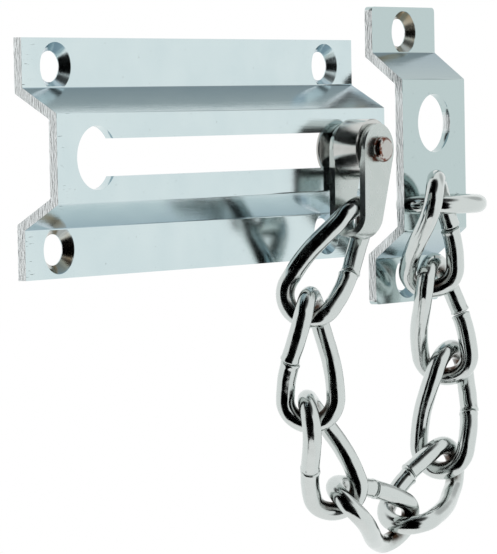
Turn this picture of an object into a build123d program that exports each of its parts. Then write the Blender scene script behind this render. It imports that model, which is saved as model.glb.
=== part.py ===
from build123d import *
import math
import os

os.makedirs("parts", exist_ok=True)

# All sizes are in millimetres. The origin is the middle of the track plate's back
# face, which lies on the door. +X runs along the plate to the staple, +Z is up,
# and the room is on the -Y side.

# Track plate
PLATE_LENGTH = 100.0
PLATE_HEIGHT = 42.0
PLATE_THICKNESS = 1.7
PLATE_FLANGE = 8.7
PLATE_WEB = 4.5
PLATE_RAISE = 9.2
SLOT_WIDTH = 6.6
SLOT_END_X = 36.2
KEYHOLE_X = -39.0
KEYHOLE_DIAMETER = 11.2
TRACK_SCREW_SPACING_X = 81.6
TRACK_SCREW_SPACING_Z = 32.0

# Staple plate
STAPLE_PLATE_WIDTH = 22.2
STAPLE_PLATE_HEIGHT = 58.4
STAPLE_PLATE_X = 68.4
STAPLE_PLATE_Z = -1.6
STAPLE_PLATE_FLANGE = 9.0
STAPLE_PLATE_WEB = 5.4
STAPLE_PLATE_RAISE = 8.6
STAPLE_PLATE_CORNER = 0.9
WINDOW_DIAMETER = 11.5
WINDOW_Z = 4.6
STAPLE_SCREW_SPACING_Z = 48.4

# Countersunk screw holes in both plates
SCREW_HOLE_DIAMETER = 5.5
SCREW_HEAD_DIAMETER = 8.5
COUNTERSINK_ANGLE = 90.0
FOLD_RADIUS = 0.35

# Stud, sleeve and shackle
STUD_X = 36.0
STUD_HEAD_DIAMETER = 10.8
STUD_HEAD_THICKNESS = 0.9
STUD_NECK_DIAMETER = 6.2
STUD_SPINDLE_DIAMETER = 4.2
STUD_END_DIAMETER = 4.7
STUD_END_LENGTH = 1.75
RUNNING_CLEARANCE = 0.08
SLEEVE_DIAMETER = 11.5
SLEEVE_LENGTH = 5.5
STRAP_THICKNESS = 1.25
SHACKLE_EYE_RADIUS = 4.85
SHACKLE_DEPTH = 17.0
SHACKLE_FOOT_RADIUS = 2.5
SHACKLE_SWING = 9.5

# Chain
WIRE_DIAMETER = 3.6
LINK_LENGTH = 28.0
LINK_WIDTH = 13.2
LINK_TWIST = 80.0
LINK_SEAM = 0.15

# How far a curve's handle reaches for a quarter circle, as a share of its radius
BOW_HANDLE = 0.5523

# Each link as it hangs: the middle of the link, then in degrees how far its upper end
# leans towards the staple, how far it leans towards the door, and its roll about its
# own length. The half turns of roll put the seam on the other arm.
LINK_PLACES = (
    ((30.4, -9.7, -21.0), 29, -19, -21),
    ((26.7, -7.2, -39.5), -2, -2, 163),
    ((31.7, -6.6, -58.2), -28, -1, 175),
    ((46.4, -7.5, -70.4), -70, -2, 11),
    ((65.0, -7.8, -67.8), 62, 3, 141),
    ((73.6, -7.0, -52.5), 8, -3, -38),
    ((70.4, -7.9, -34.5), -20, -4, -28),
    ((63.3, -11.3, -17.5), -23, -18, -14),
)

# Staple
STAPLE_WIRE = 3.55
STAPLE_RADIUS = 8.1
STAPLE_Z = -11.35


def raised_section(height, flange, web, rise, thickness):
    """The plate's closed section, flat flanges at the edges and a raised middle."""
    half = height / 2
    fold = math.atan2(rise - thickness, web)
    shift = thickness * math.tan(fold / 2)
    low, high = flange, flange + web
    front = [
        (-thickness, half),
        (-thickness, half - low),
        (-rise, half - high),
        (-rise, high - half),
        (-thickness, low - half),
        (-thickness, -half),
    ]
    back = [
        (0, -half),
        (0, low - half + shift),
        (thickness - rise, high - half + shift),
        (thickness - rise, half - high - shift),
        (0, half - low - shift),
        (0, half),
    ]
    outline = Polyline(*front, *back, close=True)
    section = make_face(outline)
    folds = [v for v in section.vertices() if abs(v.Y) < half - 0.1]
    return fillet(folds, FOLD_RADIUS)


def round_bar(diameter, start, end, x=0.0, z=0.0):
    """A solid cylinder along Y from y = start to y = end."""
    place = Pos(x, (start + end) / 2, z) * Rot(90, 0, 0)
    return place * Cylinder(diameter / 2, abs(end - start))


def countersink(x, z, face_y):
    """The through hole and its cone, opening towards -Y on the face at face_y."""
    depth = (SCREW_HEAD_DIAMETER - SCREW_HOLE_DIAMETER) / 2
    depth /= math.tan(math.radians(COUNTERSINK_ANGLE / 2))
    hole = round_bar(SCREW_HOLE_DIAMETER, face_y - 1, 1, x, z)
    cone = Cone(SCREW_HOLE_DIAMETER / 2, SCREW_HEAD_DIAMETER / 2, depth)
    return hole + Pos(x, face_y + depth / 2, z) * Rot(90, 0, 0) * cone


def track_plate():
    section = raised_section(
        PLATE_HEIGHT, PLATE_FLANGE, PLATE_WEB, PLATE_RAISE, PLATE_THICKNESS
    )
    plate = Pos(-PLATE_LENGTH / 2, 0, 0) * extrude(Plane.YZ * section, PLATE_LENGTH)
    back, front = 1 - PLATE_RAISE + PLATE_THICKNESS, -PLATE_RAISE - 1
    slot = Box(SLOT_END_X - KEYHOLE_X, back - front, SLOT_WIDTH)
    plate -= Pos((KEYHOLE_X + SLOT_END_X) / 2, (front + back) / 2, 0) * slot
    plate -= round_bar(SLOT_WIDTH, front, back, SLOT_END_X)
    plate -= round_bar(KEYHOLE_DIAMETER, front, back, KEYHOLE_X)
    for x in (-TRACK_SCREW_SPACING_X / 2, TRACK_SCREW_SPACING_X / 2):
        for z in (-TRACK_SCREW_SPACING_Z / 2, TRACK_SCREW_SPACING_Z / 2):
            plate -= countersink(x, z, -PLATE_THICKNESS)
    return plate


def staple_plate():
    section = raised_section(
        STAPLE_PLATE_HEIGHT,
        STAPLE_PLATE_FLANGE,
        STAPLE_PLATE_WEB,
        STAPLE_PLATE_RAISE,
        PLATE_THICKNESS,
    )
    plate = extrude(Plane.YZ * section, STAPLE_PLATE_WIDTH)
    plate = Pos(STAPLE_PLATE_X - STAPLE_PLATE_WIDTH / 2, 0, STAPLE_PLATE_Z) * plate
    corners = RectangleRounded(
        STAPLE_PLATE_WIDTH, STAPLE_PLATE_HEIGHT, STAPLE_PLATE_CORNER
    )
    envelope = extrude(Plane.XZ * corners, 2 * STAPLE_PLATE_RAISE, both=True)
    plate &= Pos(STAPLE_PLATE_X, 0, STAPLE_PLATE_Z) * envelope
    back, front = 1 - STAPLE_PLATE_RAISE + PLATE_THICKNESS, -STAPLE_PLATE_RAISE - 1
    plate -= round_bar(WINDOW_DIAMETER, front, back, STAPLE_PLATE_X, WINDOW_Z)
    for side in (-1, 1):
        leg_x = STAPLE_PLATE_X + side * STAPLE_RADIUS
        plate -= round_bar(STAPLE_WIRE + 0.1, front, back, leg_x, STAPLE_Z)
        screw_z = STAPLE_PLATE_Z + side * STAPLE_SCREW_SPACING_Z / 2
        plate -= countersink(STAPLE_PLATE_X, screw_z, -PLATE_THICKNESS)
    return plate


def staple():
    """A half ring of wire whose legs go through the plate and are riveted over behind it."""
    face_back = PLATE_THICKNESS - STAPLE_PLATE_RAISE
    bend_y = -STAPLE_PLATE_RAISE - 0.3
    bow = RadiusArc((-STAPLE_RADIUS, bend_y), (STAPLE_RADIUS, bend_y), -STAPLE_RADIUS)
    left = Line((-STAPLE_RADIUS, face_back), (-STAPLE_RADIUS, bend_y))
    right = Line((STAPLE_RADIUS, bend_y), (STAPLE_RADIUS, face_back))
    path = left + bow + right
    start = Plane(origin=left @ 0, z_dir=left % 0)
    wire = sweep(start * Circle(STAPLE_WIRE / 2), path=path)
    for side in (-1, 1):
        rivet = Cone(2.6, 2.0, 0.9)
        wire += Pos(side * STAPLE_RADIUS, face_back + 0.45, 0) * Rot(-90, 0, 0) * rivet
    return Pos(STAPLE_PLATE_X, 0, STAPLE_Z) * wire


REAR_EAR_BACK = -PLATE_RAISE - 0.1
SLEEVE_BACK = REAR_EAR_BACK - STRAP_THICKNESS - RUNNING_CLEARANCE
SLEEVE_FRONT = SLEEVE_BACK - SLEEVE_LENGTH
FRONT_EAR_BACK = SLEEVE_FRONT - RUNNING_CLEARANCE
FRONT_EAR_FRONT = FRONT_EAR_BACK - STRAP_THICKNESS


def slider_stud():
    """One turned piece: head behind the slot, neck in it, spindle and riveted end."""
    head_front = PLATE_THICKNESS - PLATE_RAISE + 0.05
    neck_front = -PLATE_RAISE - 0.05
    end_back = FRONT_EAR_FRONT - RUNNING_CLEARANCE
    end_front = end_back - STUD_END_LENGTH
    stud = round_bar(STUD_HEAD_DIAMETER, head_front + STUD_HEAD_THICKNESS, head_front)
    stud += round_bar(STUD_NECK_DIAMETER, head_front, neck_front)
    stud += round_bar(STUD_SPINDLE_DIAMETER, neck_front, end_back)
    end = round_bar(STUD_END_DIAMETER, end_back, end_front)
    rim = end.edges().filter_by(GeomType.CIRCLE).sort_by(Axis.Y)[0]
    stud += chamfer(rim, 0.35)
    return Pos(STUD_X, 0, 0) * stud


def spacer_sleeve():
    sleeve = round_bar(SLEEVE_DIAMETER, SLEEVE_BACK, SLEEVE_FRONT)
    sleeve = chamfer(sleeve.edges().filter_by(GeomType.CIRCLE), 0.2)
    bore = STUD_SPINDLE_DIAMETER + 2 * RUNNING_CLEARANCE
    sleeve -= round_bar(bore, SLEEVE_BACK + 1, SLEEVE_FRONT - 1)
    return Pos(STUD_X, 0, 0) * sleeve


def shackle():
    """A flat strap bent to a U, wide at its two eyes and narrow at the bend."""
    half_gap = (SLEEVE_LENGTH + 2 * RUNNING_CLEARANCE) / 2
    outer = half_gap + STRAP_THICKNESS
    bend_z = outer - SHACKLE_DEPTH
    middle_y = (REAR_EAR_BACK + FRONT_EAR_FRONT) / 2
    side = Pos(0, (bend_z + 6) / 2) * Rectangle(2 * outer, 6 - bend_z)
    side += Pos(0, bend_z) * Circle(outer)
    side -= Pos(0, (bend_z + 7) / 2) * Rectangle(2 * half_gap, 7 - bend_z)
    side -= Pos(0, bend_z) * Circle(half_gap)
    band = extrude(Plane.YZ * side, 2 * SHACKLE_EYE_RADIUS, both=True)
    eye = CenterArc((0, 0), SHACKLE_EYE_RADIUS, 0, 360)
    foot_z = SHACKLE_FOOT_RADIUS - SHACKLE_DEPTH - 1.2
    foot = CenterArc((0, foot_z), SHACKLE_FOOT_RADIUS, 0, 360)
    outline = make_face(make_hull([*eye.edges(), *foot.edges()]))
    band &= extrude(Plane.XZ * outline, 2 * outer, both=True)
    hole = STUD_SPINDLE_DIAMETER + 2 * RUNNING_CLEARANCE
    band -= round_bar(hole, -2 * outer, 2 * outer)
    return Pos(STUD_X, middle_y, 0) * Rot(0, SHACKLE_SWING, 0) * band


def twisted(across, along, turn_across, turn_along):
    """A point of the flat oval and its direction there, after the link is twisted. The
    twist dies out at both ends, so the end bows stay nearly flat."""
    half_length = (LINK_LENGTH - WIRE_DIAMETER) / 2
    half_twist = math.radians(LINK_TWIST / 2)
    reach = along / half_length
    twist = half_twist * (1.5 * reach - 0.5 * reach**3)
    rate = half_twist * 1.5 * (1 - reach**2) / half_length
    outward = Vector(math.cos(twist), math.sin(twist), 0)
    round_it = Vector(-math.sin(twist), math.cos(twist), 0)
    point = outward * across + Vector(0, 0, along)
    run = outward * turn_across + round_it * (across * rate * turn_along)
    return point, run + Vector(0, 0, turn_along)


def link():
    """A twisted oval link of round wire, its butt seam in the middle of one arm."""
    radius = (LINK_WIDTH - WIRE_DIAMETER) / 2
    height = (LINK_LENGTH - LINK_WIDTH) / 2
    seam = LINK_SEAM / 2
    arm, bow = height / 3, radius * BOW_HANDLE
    stations = (
        (radius, seam, 0, 1),
        (radius, height, 0, 1),
        (0, height + radius, -1, 0),
        (-radius, height, 0, -1),
        (-radius, 0, 0, -1),
        (-radius, -height, 0, -1),
        (0, -height - radius, 1, 0),
        (radius, -height, 0, 1),
        (radius, -seam, 0, 1),
    )
    handles = (arm, bow, bow, arm, arm, bow, bow, arm)
    edges = []
    for here, there, handle in zip(stations, stations[1:], handles):
        start, leave = twisted(*here)
        stop, arrive = twisted(*there)
        edges.append(Bezier(start, start + leave * handle, stop - arrive * handle, stop))
    path = Wire(edges)
    section = Plane(origin=path @ 0, z_dir=path % 0) * Circle(WIRE_DIAMETER / 2)
    return sweep(section, path=path)


def link_place(middle, heading, lean, roll):
    """Where a link goes, its origin in the link's middle and Z along its length."""
    turn, tilt = math.radians(heading), math.radians(lean)
    flat = math.cos(tilt)
    up = (math.sin(turn) * flat, math.sin(tilt), math.cos(turn) * flat)
    across = (math.cos(turn), 0, -math.sin(turn))
    return Plane(origin=middle, x_dir=across, z_dir=up).location * Rot(0, 0, roll)


def build():
    parts = {
        "track_plate": track_plate(),
        "slider_stud": slider_stud(),
        "spacer_sleeve": spacer_sleeve(),
        "shackle": shackle(),
        "staple_plate": staple_plate(),
        "staple": staple(),
    }
    straight_link = link()
    for number, place in enumerate(LINK_PLACES, start=1):
        parts[f"link_{number}"] = link_place(*place) * straight_link
    return parts


for name, solid in build().items():
    export_step(solid, f"parts/{name}.step")
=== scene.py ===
import math

import bpy
from mathutils import Matrix, Vector, noise


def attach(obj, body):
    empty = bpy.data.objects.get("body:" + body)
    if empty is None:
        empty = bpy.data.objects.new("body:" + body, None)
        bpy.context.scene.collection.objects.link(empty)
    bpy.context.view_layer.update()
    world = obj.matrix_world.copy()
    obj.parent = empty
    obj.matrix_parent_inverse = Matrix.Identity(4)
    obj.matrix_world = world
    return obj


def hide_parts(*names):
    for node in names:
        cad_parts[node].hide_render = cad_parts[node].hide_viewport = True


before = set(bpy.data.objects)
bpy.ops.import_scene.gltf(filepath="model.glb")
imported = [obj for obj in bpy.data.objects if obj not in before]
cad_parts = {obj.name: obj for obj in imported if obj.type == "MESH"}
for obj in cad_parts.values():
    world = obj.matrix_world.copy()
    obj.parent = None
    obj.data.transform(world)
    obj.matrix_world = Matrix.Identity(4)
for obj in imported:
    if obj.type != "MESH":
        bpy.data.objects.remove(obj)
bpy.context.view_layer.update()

MM = 0.001

# The chain as it hangs, in millimetres and degrees: each link's middle, how far its
# upper end leans towards the staple and towards the door, and its roll.
LINK_PLACES = (
    ((30.4, -9.7, -21.0), 29, -19, -21),
    ((26.7, -7.2, -39.5), -2, -2, 163),
    ((31.7, -6.6, -58.2), -28, -1, 175),
    ((46.4, -7.5, -70.4), -70, -2, 11),
    ((65.0, -7.8, -67.8), 62, 3, 141),
    ((73.6, -7.0, -52.5), 8, -3, -38),
    ((70.4, -7.9, -34.5), -20, -4, -28),
    ((63.3, -11.3, -17.5), -23, -18, -14),
)

# How far, in millimetres, the two cut ends of each link stand off each other sideways.
SEAM_STEPS = (0.30, 0.36, 0.18, 0.14, 0.50, 0.20, 0.20, 0.34)

WIRE_RADIUS = 1.8
LINK_LENGTH = 28.0
LINK_WIDTH = 13.2
LINK_TWIST = 80.0
SEAM_GAP = 0.15
# The cropped end of a link: the depth behind the cut, and the share of the wire's radius
# there. The edge is crushed, and behind it stands the burr that the crop raised.
CROPPED_END = ((0.0, 0.80), (0.08, 0.93), (0.22, 1.05), (0.42, 1.06), (0.75, 1.01))
PLAIN_WIRE_START = 0.9
# How far behind the cut, in millimetres, the sideways step dies out.
STEP_REACH = 4
# Inside each bow the rub, which is wear and painted shade, fades over these depths into the
# wire and along the link.
RUB_AND_SHADE_DEPTH = 1.2
RUB_AND_SHADE_REACH = 2
# The wire's unevenness, as the size and height of its waves. It is sunk a little, to keep
# to the even wire of the CAD.
WIRE_WAVES = ((3.0, 0.05), (1.1, 0.012))
WIRE_WAVE_SINK = 0.01

# Vertices round the wire and round the stud.
WIRE_SIDES = 32
STUD_SIDES = 64

STUD_X = 36.0
# The stud from its head, behind the slot, to its riveted end: depth and radius.
STUD_PROFILE = (
    (-6.55, 0.0),
    (-6.55, 5.25),
    (-6.70, 5.40),
    (-7.30, 5.40),
    (-7.45, 5.25),
    (-7.45, 3.10),
    (-9.25, 3.10),
    (-9.25, 2.10),
    (-17.50, 2.10),
    (-17.56, 2.22),
    (-17.75, 2.38),
    (-18.25, 2.46),
    (-18.70, 2.40),
    (-18.98, 2.22),
    (-19.14, 1.95),
    (-19.22, 1.60),
    (-19.27, 1.10),
    (-19.24, 0.60),
    (-19.20, 0.0),
)

# The two countersinks worn to brass: each mouth's middle, and how far the wear reaches.
# It fades over the last part of that.
BRASS_HOLES = (((-40.8, -1.7, -16.0), 4.6), ((68.4, -1.7, 22.6), 5.4))
BRASS_FADE = 0.7

# In front of this depth the stud is hammered, and outside this radius its plate is worn.
RIVET_START_Y = -17.5
RIVET_RIM = 1.9
# How uneven the hammer left it, as a share of its radius and in millimetres of depth.
HAMMERED_SHARE = 0.035
HAMMERED_DEPTH = 0.06

# Heights of the finishes' relief, in metres.
BRUSH_HEIGHT = 0.00001
RING_HEIGHT = 0.000006
SAW_HEIGHT = 0.0001
WIRE_DENT_HEIGHT = 0.0002
WIRE_PIT_HEIGHT = 0.00004
STRAP_PIT_HEIGHT = 0.00005
TURNED_RING_HEIGHT = 0.00003
RIVET_DENT_HEIGHT = 0.0001
# The slant of the saw marks, and how much rougher the sawn ends are than the faces.
SAW_SLANT = math.radians(28)
SAWN_ROUGHER = 0.14

# Vertices within this many metres are one.
MERGE_DISTANCE = 0.000002
# Edges sharper than the first angle are rounded, and faces that meet at more than the
# second aren't shaded as one.
ROUNDED_EDGE_ANGLE = math.radians(50)
CREASE_ANGLE = math.radians(35)


# Nodes and colours


def linear(hex_colour):
    """An sRGB hex colour as linear RGBA."""
    channels = [int(hex_colour[i : i + 2], 16) / 255 for i in (1, 3, 5)]
    low = [c / 12.92 if c <= 0.04045 else ((c + 0.055) / 1.055) ** 2.4 for c in channels]
    return (*low, 1.0)


def add(tree, kind, settings=None, **inputs):
    """Adds a node, with its settings, and sets or links each input. An input goes by its
    name, or by its number after an i, such as i0."""
    node = tree.nodes.new("ShaderNode" + kind)
    for name, value in (settings or {}).items():
        setattr(node, name, value)
    for name, value in inputs.items():
        key = int(name[1:]) if name[1:].isdigit() else name.replace("_", " ")
        socket = node.inputs[key]
        if isinstance(value, bpy.types.NodeSocket):
            tree.links.new(value, socket)
        else:
            socket.default_value = value
    return node


def blank_material(name):
    material = bpy.data.materials.new(name)
    material.use_nodes = True
    material.node_tree.nodes.clear()
    return material, material.node_tree


# Finishes. Patterns are laid out in millimetres.


def satin_chrome_on_extruded_brass():
    """Satin chrome over an extruded brass section, brushed along its length and sawn at
    its ends: pale, softly streaked reflections with a cold cast, rough ends painted bright as
    painted light, painted shade on the sloping webs, and bare brass in two worn countersinks."""
    material, tree = blank_material("satin_chrome_on_extruded_brass")
    place = add(tree, "TexCoord").outputs["Object"]
    mm = add(tree, "VectorMath", {"operation": "SCALE"}, i0=place, Scale=1 / MM).outputs[0]

    # Brush lines 0.14 mm apart, coarser than the real 0.05 mm so that they show.
    lines_place = add(
        tree, "Mapping", Vector=mm, Scale=(1 / 16.0, 1 / 0.14, 1 / 0.14)
    ).outputs[0]
    lines = add(tree, "TexNoise", Vector=lines_place, Scale=1.0, Detail=3.0).outputs[0]
    cloud = add(tree, "TexNoise", Vector=mm, Scale=1 / 9.0, Detail=3.0).outputs[0]
    specks = add(tree, "TexNoise", Vector=mm, Scale=1 / 0.6, Detail=2.0).outputs[0]
    speck = add(tree, "MapRange", i0=specks, i1=0.72, i2=0.78, i3=0.0, i4=0.5).outputs[0]

    # Nicks where the section was held to be sawn, over its first 4 mm.
    nick_place = add(tree, "Mapping", Vector=mm, Scale=(1 / 2.4, 1 / 0.5, 1 / 0.3)).outputs[0]
    nick_noise = add(tree, "TexNoise", Vector=nick_place, Scale=1.0, Detail=2.0).outputs[0]
    nicks = add(tree, "MapRange", i0=nick_noise, i1=0.68, i2=0.72, i3=0.0, i4=1.0).outputs[0]
    across, depth, _ = add(tree, "SeparateXYZ", Vector=mm).outputs
    near_end = add(tree, "MapRange", i0=across, i1=-48.5, i2=-46.0, i3=1.0, i4=0.0).outputs[0]
    nick = add(tree, "Math", {"operation": "MULTIPLY"}, i0=nicks, i1=near_end).outputs[0]
    marks = add(tree, "Math", {"operation": "MAXIMUM"}, i0=speck, i1=nick).outputs[0]

    # The sawn ends face along X.
    normal = add(tree, "NewGeometry").outputs["True Normal"]
    along = add(tree, "SeparateXYZ", Vector=normal).outputs[0]
    facing_end = add(tree, "Math", {"operation": "ABSOLUTE"}, i0=along).outputs[0]
    sawn = add(tree, "MapRange", i0=facing_end, i1=0.93, i2=0.98, i3=0.0, i4=1.0).outputs[0]
    saw_place = add(
        tree,
        "Mapping",
        Vector=mm,
        Rotation=(SAW_SLANT, 0, 0),
        Scale=(1.0, 1 / 0.25, 1 / 1.5),
    ).outputs[0]
    saw_marks = add(tree, "TexNoise", Vector=saw_place, Scale=1.0, Detail=4.0).outputs[0]

    # The sloping webs: painted shade, greyer and bluer towards their foot, standing in for
    # the dark reflection they catch.
    _, outward, upward = add(tree, "SeparateXYZ", Vector=normal).outputs
    slope = add(tree, "Math", {"operation": "MULTIPLY"}, i0=outward, i1=upward).outputs[0]
    steep = add(tree, "Math", {"operation": "ABSOLUTE"}, i0=slope).outputs[0]
    web = add(tree, "MapRange", i0=steep, i1=0.35, i2=0.42, i3=0.0, i4=1.0).outputs[0]
    foot = add(tree, "MapRange", i0=depth, i1=-8.6, i2=-2.2, i3=0.15, i4=0.75).outputs[0]
    painted_web_shade = add(tree, "Math", {"operation": "MULTIPLY"}, i0=web, i1=foot).outputs[0]

    plain = add(
        tree,
        "Mix",
        {"data_type": "RGBA"},
        Factor=cloud,
        i6=linear("#C9D9DC"),
        i7=linear("#D9E5E6"),
    ).outputs[2]
    # The staple plate, cut from another bar, came out duller.
    other_bar = add(tree, "MapRange", i0=across, i1=52.0, i2=53.0, i3=0.0, i4=1.0).outputs[0]
    coat = add(
        tree,
        "Mix",
        {"data_type": "RGBA"},
        Factor=other_bar,
        i6=plain,
        i7=linear("#BCCBCB"),
    ).outputs[2]
    # Painted shade on the sloping webs, mixed into the plate's colour.
    with_painted_web_shade = add(
        tree,
        "Mix",
        {"data_type": "RGBA"},
        Factor=painted_web_shade,
        i6=coat,
        i7=linear("#93A9B5"),
    ).outputs[2]
    tone = add(
        tree,
        "Mix",
        {"data_type": "RGBA"},
        Factor=marks,
        i6=with_painted_web_shade,
        i7=linear("#7D8789"),
    ).outputs[2]

    # The countersinks lie between the flanges' faces.
    cut = add(tree, "MapRange", i0=depth, i1=-1.66, i2=-1.60, i3=0.0, i4=1.0).outputs[0]
    sunk = add(tree, "MapRange", i0=depth, i1=-0.22, i2=-0.16, i3=1.0, i4=0.0).outputs[0]
    cone = add(tree, "Math", {"operation": "MULTIPLY"}, i0=cut, i1=sunk).outputs[0]
    for hole, reach in BRASS_HOLES:
        off = add(
            tree, "VectorMath", {"operation": "DISTANCE"}, i0=mm, i1=hole
        ).outputs["Value"]
        close = add(
            tree, "MapRange", i0=off, i1=reach - BRASS_FADE, i2=reach, i3=1.0, i4=0.0
        ).outputs[0]
        patchy = add(tree, "MapRange", i0=cloud, i1=0.35, i2=0.6, i3=0.35, i4=0.9).outputs[0]
        in_cone = add(tree, "Math", {"operation": "MULTIPLY"}, i0=close, i1=cone).outputs[0]
        bare = add(tree, "Math", {"operation": "MULTIPLY"}, i0=in_cone, i1=patchy).outputs[0]
        tone = add(
            tree,
            "Mix",
            {"data_type": "RGBA"},
            Factor=bare,
            i6=tone,
            i7=linear("#9C8158"),
        ).outputs[2]
    # The sawn ends' rough metal, painted lighter than it is: painted light for the light
    # their side doesn't get.
    sawn_tone_and_painted_light = add(
        tree,
        "Mix",
        {"data_type": "RGBA"},
        Factor=saw_marks,
        i6=linear("#D6DADB"),
        i7=linear("#FAFCFC"),
    ).outputs[2]
    all_tones = add(
        tree, "Mix", {"data_type": "RGBA"}, Factor=sawn, i6=tone, i7=sawn_tone_and_painted_light
    ).outputs[2]

    brushed = add(tree, "MapRange", i0=lines, i1=0.3, i2=0.7, i3=0.09, i4=0.13).outputs[0]
    rough = add(
        tree, "Math", {"operation": "MULTIPLY_ADD"}, i0=sawn, i1=SAWN_ROUGHER, i2=brushed
    ).outputs[0]
    brush_bump = add(
        tree, "Bump", Strength=0.8, Distance=BRUSH_HEIGHT, Height=lines
    ).outputs[0]
    # Tool rings in the countersinks, 0.1 mm apart in depth, coarser than the real 0.05 mm.
    ring_place = add(tree, "CombineXYZ", Y=depth).outputs[0]
    rings = add(tree, "TexNoise", Vector=ring_place, Scale=1 / 0.1, Detail=2.0).outputs[0]
    ring_height = add(tree, "Math", {"operation": "MULTIPLY"}, i0=rings, i1=cone).outputs[0]
    ring_bump = add(
        tree,
        "Bump",
        Strength=1.0,
        Distance=RING_HEIGHT,
        Height=ring_height,
        Normal=brush_bump,
    ).outputs[0]
    saw_height = add(
        tree, "Math", {"operation": "MULTIPLY"}, i0=saw_marks, i1=sawn
    ).outputs[0]
    skin = add(
        tree, "Bump", Strength=1.0, Distance=SAW_HEIGHT, Height=saw_height, Normal=ring_bump
    ).outputs[0]
    surface = add(
        tree,
        "BsdfPrincipled",
        Base_Color=all_tones,
        Metallic=1.0,
        Roughness=rough,
        Normal=skin,
    ).outputs[0]
    add(tree, "OutputMaterial", Surface=surface)
    return material


def polished_chrome_on_drawn_wire():
    """Polished chrome on drawn steel wire: hard black and white reflections, waved by
    the drawing and bending, and dark brown where the links rub and touch, as wear and painted
    shade."""
    material, tree = blank_material("polished_chrome_on_drawn_wire")
    place = add(tree, "TexCoord").outputs["Object"]
    mm = add(tree, "VectorMath", {"operation": "SCALE"}, i0=place, Scale=1 / MM).outputs[0]
    rub_and_shade = add(tree, "Attribute", {"attribute_name": "rub_and_shade"}).outputs["Fac"]
    dents = add(tree, "TexNoise", Vector=mm, Scale=1 / 2.4, Detail=2.0).outputs[0]
    pits = add(tree, "TexNoise", Vector=mm, Scale=1 / 0.4, Detail=3.0).outputs[0]
    blotch = add(tree, "TexNoise", Vector=mm, Scale=1 / 1.8, Detail=4.0).outputs[0]
    patchy = add(tree, "MapRange", i0=blotch, i1=0.34, i2=0.58, i3=0.25, i4=1.0).outputs[0]
    # Dark brown inside each bow: wear and painted shade where the next link touches.
    worn = add(tree, "Math", {"operation": "MULTIPLY"}, i0=rub_and_shade, i1=patchy).outputs[0]
    tone = add(
        tree,
        "Mix",
        {"data_type": "RGBA"},
        Factor=worn,
        i6=linear("#CFD4D2"),
        i7=linear("#49362B"),
    ).outputs[2]
    rough = add(tree, "MapRange", i0=blotch, i1=0.35, i2=0.65, i3=0.08, i4=0.21).outputs[0]
    waves = add(
        tree, "Bump", Strength=0.20, Distance=WIRE_DENT_HEIGHT, Height=dents
    ).outputs[0]
    skin = add(
        tree, "Bump", Strength=0.07, Distance=WIRE_PIT_HEIGHT, Height=pits, Normal=waves
    ).outputs[0]
    surface = add(
        tree,
        "BsdfPrincipled",
        Base_Color=tone,
        Metallic=1.0,
        Roughness=rough,
        Normal=skin,
    ).outputs[0]
    add(tree, "OutputMaterial", Surface=surface)
    return material


def satin_chrome_on_bent_strap():
    """Satin chrome on a blanked and bent steel strap: pale grey, slightly pitted faces."""
    material, tree = blank_material("satin_chrome_on_bent_strap")
    place = add(tree, "TexCoord").outputs["Object"]
    mm = add(tree, "VectorMath", {"operation": "SCALE"}, i0=place, Scale=1 / MM).outputs[0]
    cloud = add(tree, "TexNoise", Vector=mm, Scale=1 / 3.0, Detail=3.0).outputs[0]
    pits = add(tree, "TexNoise", Vector=mm, Scale=1 / 0.35, Detail=3.0).outputs[0]
    tone = add(
        tree,
        "Mix",
        {"data_type": "RGBA"},
        Factor=cloud,
        i6=linear("#BAC2BF"),
        i7=linear("#CBD1CE"),
    ).outputs[2]
    rough = add(tree, "MapRange", i0=cloud, i1=0.3, i2=0.7, i3=0.20, i4=0.32).outputs[0]
    skin = add(tree, "Bump", Strength=0.10, Distance=STRAP_PIT_HEIGHT, Height=pits).outputs[0]
    surface = add(
        tree,
        "BsdfPrincipled",
        Base_Color=tone,
        Metallic=1.0,
        Roughness=rough,
        Normal=skin,
    ).outputs[0]
    add(tree, "OutputMaterial", Surface=surface)
    return material


def chrome_on_turned_sleeve():
    """Chrome on a turned sleeve: fine rings round it under a bright plate."""
    material, tree = blank_material("chrome_on_turned_sleeve")
    place = add(tree, "TexCoord").outputs["Object"]
    mm = add(tree, "VectorMath", {"operation": "SCALE"}, i0=place, Scale=1 / MM).outputs[0]
    # Tool rings 0.2 mm apart, coarser than the real 0.08 mm so that they show.
    ring_place = add(tree, "Mapping", Vector=mm, Scale=(1 / 8.0, 1 / 0.2, 1 / 8.0)).outputs[0]
    rings = add(tree, "TexNoise", Vector=ring_place, Scale=1.0, Detail=3.0).outputs[0]
    cloud = add(tree, "TexNoise", Vector=mm, Scale=1 / 2.0, Detail=3.0).outputs[0]
    tone = add(
        tree,
        "Mix",
        {"data_type": "RGBA"},
        Factor=cloud,
        i6=linear("#C6C7C5"),
        i7=linear("#D6D6D2"),
    ).outputs[2]
    rough = add(tree, "MapRange", i0=cloud, i1=0.3, i2=0.7, i3=0.14, i4=0.24).outputs[0]
    skin = add(
        tree, "Bump", Strength=0.20, Distance=TURNED_RING_HEIGHT, Height=rings
    ).outputs[0]
    surface = add(
        tree,
        "BsdfPrincipled",
        Base_Color=tone,
        Metallic=1.0,
        Roughness=rough,
        Normal=skin,
    ).outputs[0]
    add(tree, "OutputMaterial", Surface=surface)
    return material


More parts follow.
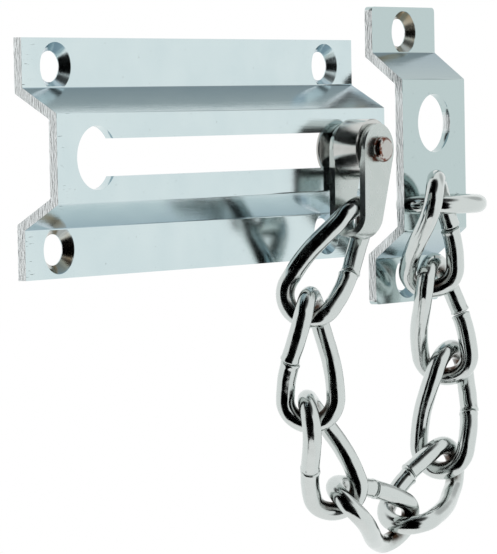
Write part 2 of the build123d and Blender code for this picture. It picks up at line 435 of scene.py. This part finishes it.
def worn_chrome_on_riveted_stud():
    """Chrome on a turned stud, hammered over at its end, where the plate is worn
    through to red metal round the rim."""
    material, tree = blank_material("worn_chrome_on_riveted_stud")
    place = add(tree, "TexCoord").outputs["Object"]
    mm = add(tree, "VectorMath", {"operation": "SCALE"}, i0=place, Scale=1 / MM).outputs[0]
    rim = add(tree, "Attribute", {"attribute_name": "rim"}).outputs["Fac"]
    blotch = add(tree, "TexNoise", Vector=mm, Scale=1 / 1.0, Detail=4.0).outputs[0]
    cut = add(tree, "MapRange", i0=blotch, i1=0.44, i2=0.52, i3=0.0, i4=1.0).outputs[0]
    worn = add(tree, "Math", {"operation": "MULTIPLY"}, i0=rim, i1=cut).outputs[0]
    tone = add(
        tree,
        "Mix",
        {"data_type": "RGBA"},
        Factor=worn,
        i6=linear("#BDBCB8"),
        i7=linear("#6A3622"),
    ).outputs[2]
    dents = add(tree, "TexNoise", Vector=mm, Scale=1 / 0.8, Detail=2.0).outputs[0]
    skin = add(
        tree, "Bump", Strength=0.30, Distance=RIVET_DENT_HEIGHT, Height=dents
    ).outputs[0]
    surface = add(
        tree,
        "BsdfPrincipled",
        Base_Color=tone,
        Metallic=1.0,
        Roughness=0.24,
        Normal=skin,
    ).outputs[0]
    add(tree, "OutputMaterial", Surface=surface)
    return material


# Meshes


def object_from(name, vertices, faces, material, smooth=True):
    mesh = bpy.data.meshes.new(name)
    mesh.from_pydata([tuple(v) for v in vertices], [], faces)
    mesh.update()
    mesh.materials.append(material)
    for polygon in mesh.polygons:
        polygon.use_smooth = smooth
    piece = bpy.data.objects.new(name, mesh)
    bpy.context.scene.collection.objects.link(piece)
    return piece


def set_attribute(piece, name, values):
    layer = piece.data.attributes.new(name, "FLOAT", "POINT")
    layer.data.foreach_set("value", values)


def link_line():
    """The twisted link's centre line, from one cut end round to the other: a flat oval
    turned about its length, by a turn that dies out at both ends."""
    radius = (LINK_WIDTH - 2 * WIRE_RADIUS) / 2
    height = (LINK_LENGTH - LINK_WIDTH) / 2
    half_length = LINK_LENGTH / 2 - WIRE_RADIUS
    half_twist = math.radians(LINK_TWIST / 2)
    arm_steps, bow_steps = 18, 30
    flat = [(radius, height * i / arm_steps) for i in range(arm_steps)]
    for i in range(bow_steps):
        angle = math.pi * i / bow_steps
        flat.append((radius * math.cos(angle), height + radius * math.sin(angle)))
    flat += [(-radius, height * (1 - i / arm_steps)) for i in range(2 * arm_steps)]
    for i in range(bow_steps):
        angle = math.pi * i / bow_steps
        flat.append((-radius * math.cos(angle), -height - radius * math.sin(angle)))
    flat += [(radius, height * (i / arm_steps - 1)) for i in range(arm_steps + 1)]
    line = []
    for across, along in flat:
        reach = along / half_length
        turn = half_twist * (1.5 * reach - 0.5 * reach**3)
        line.append(Vector((across * math.cos(turn), across * math.sin(turn), along)))
    return line


def trimmed(line, cut):
    """The line with its first and last cut millimetres taken off."""
    for end in (0, -1):
        toward = (line[1] - line[0]) if end == 0 else (line[-2] - line[-1])
        line[end] = line[end] + toward.normalized() * cut
    return line


def frames_along(line):
    """A pair of cross directions at each point, turned as little as can be."""
    count = len(line)
    tangents = []
    for i in range(count):
        tangents.append((line[min(i + 1, count - 1)] - line[max(i - 1, 0)]).normalized())
    side = tangents[0].orthogonal().normalized()
    sides = []
    for tangent in tangents:
        side = (side - tangent * side.dot(tangent)).normalized()
        sides.append((side.copy(), tangent.cross(side)))
    return sides


def bar_mesh(line, radii, around):
    """Rings of vertices round a line, joined by faces and closed flat at each end."""
    vertices, faces = [], []
    for (side, other), point, radius in zip(frames_along(line), line, radii):
        for k in range(around):
            angle = 2 * math.pi * k / around
            outward = side * math.cos(angle) + other * math.sin(angle)
            vertices.append(point + outward * radius)
    rings = len(line)
    for i in range(rings - 1):
        for k in range(around):
            a, b = i * around + k, i * around + (k + 1) % around
            faces.append((a, b, b + around, a + around))
    faces.append(tuple(reversed(range(around))))
    faces.append(tuple(range((rings - 1) * around, rings * around)))
    return vertices, faces


def link_matrix(middle, heading, lean, roll):
    turn, tilt = math.radians(heading), math.radians(lean)
    flat = math.cos(tilt)
    up = Vector((math.sin(turn) * flat, math.sin(tilt), math.cos(turn) * flat))
    across = Vector((math.cos(turn), 0, -math.sin(turn)))
    axes = Matrix((across, up.cross(across), up)).transposed().to_4x4()
    rolled = axes @ Matrix.Rotation(math.radians(roll), 4, "Z")
    return Matrix.Translation(Vector(middle)) @ rolled


def chain_link(number, material):
    """One link of drawn wire, its cut ends butted with a small step and a crushed edge,
    in place of the CAD's even one."""
    line = trimmed(link_line(), SEAM_GAP / 2)
    cuts = (line[0].copy(), line[-1].copy())
    inward = ((line[1] - line[0]).normalized(), (line[-2] - line[-1]).normalized())
    start = [(cuts[0] + inward[0] * depth, share) for depth, share in CROPPED_END]
    stop = [(cuts[1] + inward[1] * depth, share) for depth, share in reversed(CROPPED_END)]
    body = [
        (p, 1.0) for p in line[1:-1] if min((p - c).length for c in cuts) > PLAIN_WIRE_START
    ]
    profile = start + body + stop
    radii = [WIRE_RADIUS * share for _, share in profile]
    offset = SEAM_STEPS[number - 1] / 2
    points = []
    for i, (point, _) in enumerate(profile):
        near = max(0.0, 1 - min((point - c).length for c in cuts) / STEP_REACH)
        side = 1 if i < len(profile) / 2 else -1
        points.append(point + Vector((side * offset * near**2, 0, 0)))
    vertices, faces = bar_mesh(points, radii, WIRE_SIDES)

    # The inside of each end, where the next link rubs and shades it: wear and painted shade.
    height = (LINK_LENGTH - LINK_WIDTH) / 2
    rub_and_shade = []
    for v in vertices:
        end_middle = Vector((0, 0, math.copysign(height, v.z)))
        inside = (LINK_WIDTH / 2 - WIRE_RADIUS) - (v - end_middle).length
        reach = (abs(v.z) - height) / RUB_AND_SHADE_REACH
        rub_and_shade.append(max(0.0, min(1.0, inside / RUB_AND_SHADE_DEPTH)) * max(0.0, min(1.0, reach)))

    # Drawing and bending leave the wire faintly uneven.
    seed = Vector((number * 7.3, number * 3.1, number * 5.7))
    for i, v in enumerate(vertices):
        outward = (v - points[i // WIRE_SIDES]).normalized()
        wave = sum(noise.noise(v / size + seed) * swell for size, swell in WIRE_WAVES)
        vertices[i] = v + outward * (wave - WIRE_WAVE_SINK)
    place = link_matrix(*LINK_PLACES[number - 1])
    placed = [(place @ v) * MM for v in vertices]
    piece = object_from(f"link_{number}_wire", placed, faces, material)
    set_attribute(piece, "rub_and_shade", rub_and_shade)
    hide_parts(f"link_{number}")
    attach(piece, f"link_{number}")


def turned_stud(material):
    """The stud as one turned piece, its front end hammered over and uneven."""
    vertices, faces, rim = [], [], []
    seed = Vector((4.1, 9.7, 2.3))
    for depth, radius in STUD_PROFILE:
        for k in range(STUD_SIDES):
            angle = 2 * math.pi * k / STUD_SIDES
            v = Vector((radius * math.cos(angle), depth, radius * math.sin(angle)))
            if depth < RIVET_START_Y:
                v *= 1 + HAMMERED_SHARE * noise.noise(v / 1.3 + seed)
                v.y = max(depth, depth + HAMMERED_DEPTH * noise.noise(v / 0.9 + seed))
            vertices.append((v + Vector((STUD_X, 0, 0))) * MM)
            rim.append(1.0 if depth < RIVET_START_Y and radius > RIVET_RIM else 0.0)
    for i in range(len(STUD_PROFILE) - 1):
        for k in range(STUD_SIDES):
            a, b = i * STUD_SIDES + k, i * STUD_SIDES + (k + 1) % STUD_SIDES
            faces.append((a, a + STUD_SIDES, b + STUD_SIDES, b))
    piece = object_from("turned_stud", vertices, faces, material)
    set_attribute(piece, "rim", rim)
    weld = piece.modifiers.new("weld", "WELD")
    weld.merge_threshold = MERGE_DISTANCE
    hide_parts("slider_stud")
    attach(piece, "slider")


def soften(node, width, finish):
    """Gives a CAD node its finish, rounds its right-angled edges by width millimetres,
    and keeps its creases crisp."""
    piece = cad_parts[node]
    piece.data.materials.clear()
    piece.data.materials.append(finish)
    weld = piece.modifiers.new("weld", "WELD")
    weld.merge_threshold = MERGE_DISTANCE
    bevel = piece.modifiers.new("edges", "BEVEL")
    bevel.width = width * MM
    bevel.segments = 2
    bevel.limit_method = "ANGLE"
    bevel.angle_limit = ROUNDED_EDGE_ANGLE
    split = piece.modifiers.new("creases", "EDGE_SPLIT")
    split.split_angle = CREASE_ANGLE


# The set

plates_finish = satin_chrome_on_extruded_brass()
wire_finish = polished_chrome_on_drawn_wire()
strap_finish = satin_chrome_on_bent_strap()
sleeve_finish = chrome_on_turned_sleeve()
stud_finish = worn_chrome_on_riveted_stud()

for node, width, finish in (
    ("track_plate", 0.12, plates_finish),
    ("staple_plate", 0.12, plates_finish),
    ("staple", 0.05, wire_finish),
    ("shackle", 0.15, strap_finish),
    ("spacer_sleeve", 0.05, sleeve_finish),
):
    soften(node, width, finish)

for number in range(1, len(LINK_PLACES) + 1):
    chain_link(number, wire_finish)
turned_stud(stud_finish)


# Stage: camera, floor, light


CAMERA_PLACE = (-534.85, -404.45, 7.65)
CAMERA_YAW = -0.938
CAMERA_PITCH = 0.046
CAMERA_ROLL = -0.018
FOCAL_PIXELS = 3651.2
FRAME_HEIGHT_PIXELS = 554
IMAGE_SHIFT_PIXELS = 2.0


def place_camera():
    forward_flat = Vector((-math.sin(CAMERA_YAW), math.cos(CAMERA_YAW), 0))
    right = Vector((math.cos(CAMERA_YAW), math.sin(CAMERA_YAW), 0))
    up = Vector((0, 0, 1))
    forward = forward_flat * math.cos(CAMERA_PITCH) - up * math.sin(CAMERA_PITCH)
    above = up * math.cos(CAMERA_PITCH) + forward_flat * math.sin(CAMERA_PITCH)
    turned_right = right * math.cos(CAMERA_ROLL) + above * math.sin(CAMERA_ROLL)
    turned_up = above * math.cos(CAMERA_ROLL) - right * math.sin(CAMERA_ROLL)
    axes = Matrix((turned_right, turned_up, -forward)).transposed().to_4x4()
    data = bpy.data.cameras.new("camera")
    camera = bpy.data.objects.new("camera", data)
    bpy.context.scene.collection.objects.link(camera)
    camera.matrix_world = Matrix.Translation(Vector(CAMERA_PLACE) * MM) @ axes
    data.sensor_width = 36.0
    data.lens = FOCAL_PIXELS * data.sensor_width / FRAME_HEIGHT_PIXELS
    data.shift_x = IMAGE_SHIFT_PIXELS / FRAME_HEIGHT_PIXELS
    data.shift_y = IMAGE_SHIFT_PIXELS / FRAME_HEIGHT_PIXELS
    data.clip_start = 0.01
    data.clip_end = 20.0
    bpy.context.scene.camera = camera


FLOOR_Z = -0.25
FLOOR_RADIUS = 0.16

# The unlit side of the room, round the camera and to its left, from below up to the
# ceiling, and a faint patch high up on the far side. For each: its angle about Z from +X
# and its height in degrees, how far off it the dark ends and the white begins, and how
# much light is taken.
DARK_PATCHES = (
    (-163, 4, 44, 50, 1.0),
    (-163, -30, 38, 47, 1.0),
    (-184, 56, 26, 38, 1.0),
    (-136, 62, 20, 38, 0.95),
    (-13, 33, 8, 24, 0.42),
)


def light_the_stage():
    """A white tent all round, open where the room is dark."""
    world = bpy.data.worlds.new("studio")
    bpy.context.scene.world = world
    world.use_nodes = True
    tree = world.node_tree
    tree.nodes.clear()
    direction = add(tree, "TexCoord").outputs["Generated"]
    level = 1.0
    for compass, height, inner, outer, taken in DARK_PATCHES:
        turn, rise = math.radians(compass), math.radians(height)
        flat = math.cos(rise)
        axis = (math.cos(turn) * flat, math.sin(turn) * flat, math.sin(rise))
        facing = add(tree, "VectorMath", {"operation": "DOT_PRODUCT"}, i0=direction, i1=axis)
        kept = add(
            tree,
            "MapRange",
            {"interpolation_type": "SMOOTHSTEP"},
            i0=facing.outputs["Value"],
            i1=math.cos(math.radians(outer)),
            i2=math.cos(math.radians(inner)),
            i3=1.0,
            i4=1.0 - taken,
        ).outputs[0]
        level = add(tree, "Math", {"operation": "MULTIPLY"}, i0=kept, i1=level).outputs[0]
    tent = add(tree, "Background", Color=linear("#FBFDFD"), Strength=level).outputs[0]
    backdrop = add(tree, "Background", Color=(1, 1, 1, 1), Strength=1.0).outputs[0]
    seen = add(tree, "LightPath").outputs["Is Camera Ray"]
    both = add(tree, "MixShader", i0=seen, i1=tent, i2=backdrop).outputs[0]
    add(tree, "OutputWorld", Surface=both)


def pale_floor():
    """A matt white round table below the chain. It shows white, like the tent, both
    straight to the camera and in the chrome."""
    material, tree = blank_material("matt_white_card")
    card = add(tree, "BsdfDiffuse", Color=linear("#EFEFEE")).outputs[0]
    shine = add(tree, "Emission", Color=(1, 1, 1, 1), Strength=1.0).outputs[0]
    path = add(tree, "LightPath").outputs
    seen = add(
        tree,
        "Math",
        {"operation": "MAXIMUM"},
        i0=path["Is Camera Ray"],
        i1=path["Is Glossy Ray"],
    ).outputs[0]
    both = add(tree, "MixShader", i0=seen, i1=card, i2=shine).outputs[0]
    add(tree, "OutputMaterial", Surface=both)
    steps = 96
    turns = [2 * math.pi * i / steps for i in range(steps)]
    rim = [(FLOOR_RADIUS * math.cos(t), FLOOR_RADIUS * math.sin(t), FLOOR_Z) for t in turns]
    floor = object_from("floor", rim, [tuple(range(steps))], material, smooth=False)


place_camera()
light_the_stage()
pale_floor()
bpy.context.scene.view_settings.view_transform = "Standard"
